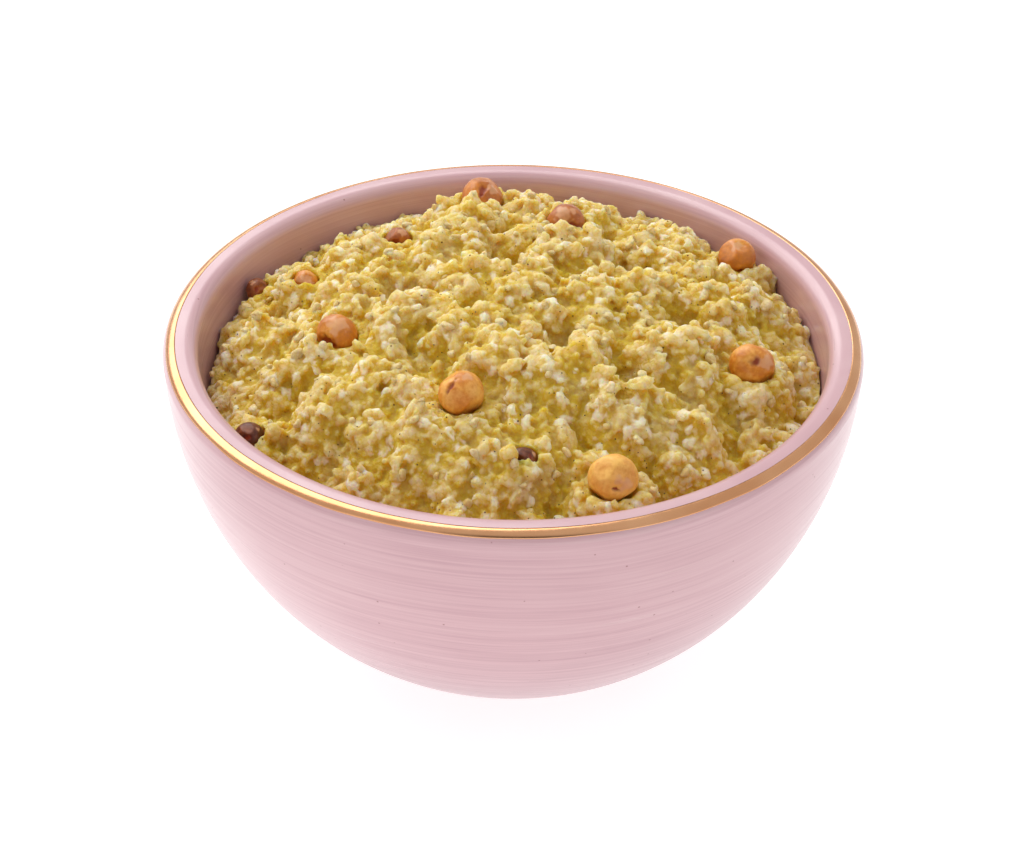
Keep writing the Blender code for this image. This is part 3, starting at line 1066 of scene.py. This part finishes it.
# %% Scatter the loose bits
HIGHEST_GRAIN = solid_box[1][2] - 1.0 * MM
GRAIN_KINDS = (
    {
        "name": "cream_curds",
        "tones": (colour(226, 198, 128), colour(236, 214, 154), colour(242, 226, 180)),
        "Spacing": 3.6 * MM, "Density": 100000.0, "Lobe height": 0.15 * MM,
        "Smallest": (1.1 * MM, 1.0 * MM, 0.9 * MM), "Largest": (2.6 * MM, 2.0 * MM, 1.5 * MM),
        "Tilt": 1.5, "Sink": 0.45 * MM, "Unevenness": 1.0 * MM, "Clearance": 1.3 * MM,
        "Patch size": 5 * MM, "Patch cover": 0.45, "Proud bias": 0.7, "Seed": 37,
    },
    {
        "name": "cardamom_specks",
        "tones": (colour(60, 40, 20), colour(104, 72, 34), colour(140, 104, 56)),
        "Spacing": 0.8 * MM, "Density": 50000.0, "Lobe height": 0.0, "Fineness": 1,
        "Smallest": (0.15 * MM, 0.15 * MM, 0.12 * MM), "Largest": (0.42 * MM, 0.3 * MM, 0.25 * MM),
        "Sink": 0.0, "Unevenness": 0.1 * MM, "Clearance": 0.5 * MM,
        "Patch size": 6 * MM, "Patch cover": 0.45, "Proud bias": 0.0, "Seed": 21,
    },
)


def scatter_grains(kind):
    look = make_halwa_finish(kind["name"] + "_finish", *kind["tones"], glow=0.6, glow_reach=0.6 * MM)
    values = {title: value for title, value in kind.items() if title[0].isupper()}
    values.update({"Material": look, "Highest": HIGHEST_GRAIN})
    piece = apply_tree(core, grain_tree, values, kind["name"])
    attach(piece, "root")
    print(kind["name"], "triangles:", triangle_count(piece.data))
    return piece


grains = [scatter_grains(kind) for kind in GRAIN_KINDS]

# %% [markdown]
# ## The roasted kernels
# The round kernels are roasted from tan to red-brown. Each has a dark scar where its sprout
# was, and a paler chip that is partly skin rubbed off and partly a painted highlight on its top.
# A copy of each solid is merged and smoothed by Subdivision Surface, then flattened by a few
# facets, as such kernels dry. The roast, the scar and the chip with its painted highlight are
# attributes, so that one material serves all twelve.


# %% The kernel material
def make_kernel_finish():
    material, tree, place = new_material("roasted_kernel_skin")
    broad = noise_level(tree, place, 260.0, 4.0, 0.6)
    fine = noise_level(tree, place, 1300.0, 4.0)
    level = plus(
        tree, attribute(tree, "roast"),
        remap(tree, broad, 0.3, 0.7, -0.2, 0.2),
        remap(tree, fine, 0.3, 0.7, -0.07, 0.07),
    )
    skin = ramp(
        tree, level,
        (0.0, colour(252, 194, 98)), (0.3, colour(216, 132, 36)),
        (0.6, colour(178, 100, 46)), (1.0, colour(92, 40, 18)),
    )
    # The pale chip colour is partly rubbed skin and partly a painted highlight on the kernel's top.
    skin = mixed(tree, times(tree, attribute(tree, "chip_and_highlight"), 0.65), skin, colour(232, 178, 134))
    skin = mixed(tree, times(tree, attribute(tree, "scar"), 0.95), skin, colour(146, 50, 8))
    finish(
        tree, Base_Color=skin, Roughness=remap(tree, fine, 0.3, 0.7, 0.3, 0.46),
        Normal=bumped(tree, 0.5, 0.12 * MM, plus(tree, fine, broad)),
        Subsurface_Weight=0.25, Subsurface_Radius=(1.0, 0.5, 0.2), Subsurface_Scale=1.2 * MM,
        Specular_IOR_Level=0.45,
    )
    return material


kernel_finish = make_kernel_finish()
print("made", kernel_finish.name)

# %% Shape and place the kernels
# Each kernel's roast, from 0, pale, to 1, dark, then its scar and its chip, which is partly
# rubbed skin and partly a painted highlight. Both start with where the viewer sees them, in
# radii to the right of the middle and above it. A scar then has its slant in degrees, its half
# length and its half width in radii, and a chip its size.
KERNEL_LOOKS = {
    "kernel_01": (0.4, (0.02, 0.3, 80, 0.4, 0.2), (0.6, 0.5, 0.35)),
    "kernel_02": (0.62, (0.25, -0.4, 5, 0.6, 0.3), (-0.05, 0.5, 0.6)),
    "kernel_03": (0.66, (-0.1, -0.1, 30, 0.35, 0.3), (0.4, 0.65, 0.45)),
    "kernel_04": (0.32, (-0.4, -0.5, -20, 0.5, 0.3), (0.05, 0.5, 0.6)),
    "kernel_05": (0.2, (-0.42, 0.3, 62, 0.34, 0.11), (0.3, 0.75, 0.3)),
    "kernel_06": (0.05, (0.06, -0.56, -25, 0.2, 0.07), (0.4, -0.3, 0.4)),
    "kernel_07": (0.22, (0.08, 0.14, 20, 0.26, 0.2), (0.55, 0.1, 0.45)),
    "kernel_08": (0.36, (0.1, -0.8, 0, 0.2, 0.1), (-0.1, 0.65, 0.45)),
    "kernel_09": (0.85, (0.5, 0.2, 80, 0.4, 0.1), (0.75, 0.45, 0.25)),
    # Kernels 10 and 12 lie in shade by the wall; their dark roast is partly their own colour and partly
    # painted shade.
    "kernel_10": (0.92, (0.0, 0.0, 30, 0.3, 0.2), (0.5, 0.6, 0.2)),
    "kernel_11": (0.3, (0.2, -0.4, 80, 0.25, 0.1), (0.0, 0.3, 0.7)),
    "kernel_12": (0.8, (0.0, 0.0, 60, 0.3, 0.2), (-0.4, 0.6, 0.3)),
}
KERNEL_SMOOTHING = 3
WRINKLE_SHARE = 0.04
SCAR_DEPTH_SHARE = 0.08
FACETS = 6
FACET_DEPTHS = (0.8, 0.93)
FACET_FLATNESS = 0.8


def seen(right, above):
    """The direction of a spot on a ball, from where the viewer sees it."""
    return across * right + upward * above + backward * math.sqrt(max(1 - right ** 2 - above ** 2, 0))


def flattened(way, facets):
    for facet, depth in facets:
        beyond = way.dot(facet) - depth
        if beyond > 0:
            way = way - facet * beyond * FACET_FLATNESS
    return way


def share_of_scar(way, scar, blur):
    right, above, slant, length, width = scar
    middle = seen(right, above)
    slant = math.radians(slant)
    along = across * math.cos(slant) + upward * math.sin(slant)
    along = (along - middle * along.dot(middle)).normalized()
    off = way - middle
    distance = math.hypot(off.dot(along) / length, off.dot(middle.cross(along)) / width)
    if way.dot(middle) < 0:
        return 0.0
    return min(max((1.15 - distance + 0.6 * blur) * 1.8, 0), 1)


def share_of_chip_and_highlight(way, chip_and_highlight, blur):
    right, above, size = chip_and_highlight
    distance = (way - seen(right, above)).length / size
    return min(max((1.0 - distance + 0.8 * blur) * 2.5, 0), 1)


def smoothed_copy(name):
    skin = bmesh.new()
    skin.from_mesh(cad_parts[name].data)
    bmesh.ops.remove_doubles(skin, verts=skin.verts, dist=MERGE_DISTANCE)
    holder = place_in_scene(name + "_rough", mesh_from(skin, name + "_rough"))
    rounding = holder.modifiers.new("rounding", "SUBSURF")
    rounding.levels = KERNEL_SMOOTHING
    rounding.render_levels = KERNEL_SMOOTHING
    mesh = shown_mesh(holder)
    bpy.data.objects.remove(holder)
    return mesh


def shape_kernel(name, roast, scar, chip_and_highlight):
    mesh = smoothed_copy(name)
    low, high = (Vector(corner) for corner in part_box(name))
    middle = (low + high) / 2
    half = (high - low) / 2
    reach = [max(abs(v.co[i] - middle[i]) for v in mesh.vertices) for i in range(3)]
    draw = random.Random(name)
    facets = [
        (Vector([draw.gauss(0, 1) for _ in range(3)]).normalized(), draw.uniform(*FACET_DEPTHS))
        for _ in range(FACETS)
    ]
    shift = Vector((0, int(name[-2:]) * 3.7, 0))
    scars = []
    chip_and_highlight_shares = []
    for vertex in mesh.vertices:
        way = Vector([(vertex.co[i] - middle[i]) / reach[i] for i in range(3)])
        blur = noise.noise(way * 4 + shift)
        scarred = share_of_scar(way, scar, blur)
        chip_and_highlight_shares.append(share_of_chip_and_highlight(way, chip_and_highlight, blur))
        scars.append(scarred)
        wrinkle = noise.noise(way * 1.7 + shift) + 0.3 * blur + 0.12 * noise.noise(way * 11 + shift)
        scale = 1 - WRINKLE_SHARE * (0.7 + 0.5 * wrinkle) - SCAR_DEPTH_SHARE * scarred
        way = flattened(way, facets)
        vertex.co = middle + Vector([way[i] * half[i] * scale for i in range(3)])
    roasts = [roast] * len(scars)
    for title, values in (("scar", scars), ("chip_and_highlight", chip_and_highlight_shares), ("roast", roasts)):
        mesh.attributes.new(title, "FLOAT", "POINT").data.foreach_set("value", values)
    mesh.shade_smooth()
    mesh.materials.clear()
    mesh.materials.append(kernel_finish)
    piece = place_in_scene("roasted_" + name, mesh)
    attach(piece, "root")
    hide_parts(name)
    return piece


kernels = [shape_kernel(name, *look) for name, look in KERNEL_LOOKS.items()]
print("kernels:", len(kernels), "faces each:", len(kernels[0].data.polygons))

# %% [markdown]
# ## Floor and light
# The floor is a light table, a pale sheet that glows, which takes away most of the shadow.
# One large soft light stands high at the left and behind, so crags throw short shadows
# forward, and a weaker one fills from the front left. The pale world does the rest. It is
# dark only where the photographer stands, which shows as a dark line along the gold's front.


# %% Floor, lights and world
FLOOR_HALF = 3.0
FLOOR_GLOW = 0.75
LIGHT_AIM = Vector((0, 0, 0.04))
WHITE = (1.0, 1.0, 1.0, 1.0)
WORLD_LIGHT = 0.74
PHOTOGRAPHER_TONE = (0.1, 0.1, 0.1, 1.0)
PHOTOGRAPHER_EDGE = math.radians(32)
PHOTOGRAPHER_CORE = math.radians(16)


def make_floor():
    material, tree, place = new_material("studio_paper")
    grain = noise_level(tree, place, 40.0, 2.0)
    finish(
        tree, Base_Color=ramp(tree, grain, (0.3, colour(197, 197, 197)), (0.7, colour(200, 200, 200))),
        Roughness=0.9, Specular_IOR_Level=0.1, Emission_Color=WHITE, Emission_Strength=FLOOR_GLOW,
    )
    signs = ((-1, -1), (1, -1), (1, 1), (-1, 1))
    mesh = bpy.data.meshes.new("studio_floor")
    mesh.from_pydata([(x * FLOOR_HALF, y * FLOOR_HALF, 0) for x, y in signs], [], [(0, 1, 2, 3)])
    mesh.materials.append(material)
    floor = place_in_scene("studio_floor", mesh)


def softbox(name, place, width, power):
    light = bpy.data.lights.new(name, "AREA")
    light.shape = "DISK"
    light.size = width
    light.energy = power
    item = place_in_scene(name, light)
    item.location = place
    item.rotation_euler = (LIGHT_AIM - Vector(place)).to_track_quat("-Z", "Y").to_euler()


def make_world():
    world = bpy.data.worlds.new("pale_studio")
    world.use_nodes = True
    tree = world.node_tree
    direction = add(tree, "ShaderNodeTexCoord").outputs["Generated"]
    toward = vector_sums(tree, "DOT_PRODUCT", direction, backward)
    hidden = remap(tree, toward, math.cos(PHOTOGRAPHER_EDGE), math.cos(PHOTOGRAPHER_CORE))
    background = tree.nodes["Background"].inputs
    feed(tree, background["Color"], mixed(tree, hidden, WHITE, PHOTOGRAPHER_TONE))
    background["Strength"].default_value = WORLD_LIGHT
    bpy.context.scene.world = world


make_floor()
softbox("key_back_left", (-0.5, 0.72, 0.93), 1.3, 11.4)
softbox("fill_front", (-0.5, -0.9, 0.5), 0.9, 1.0)
make_world()
bpy.context.scene.view_settings.view_transform = "Standard"
print("floor, lights and world ready")
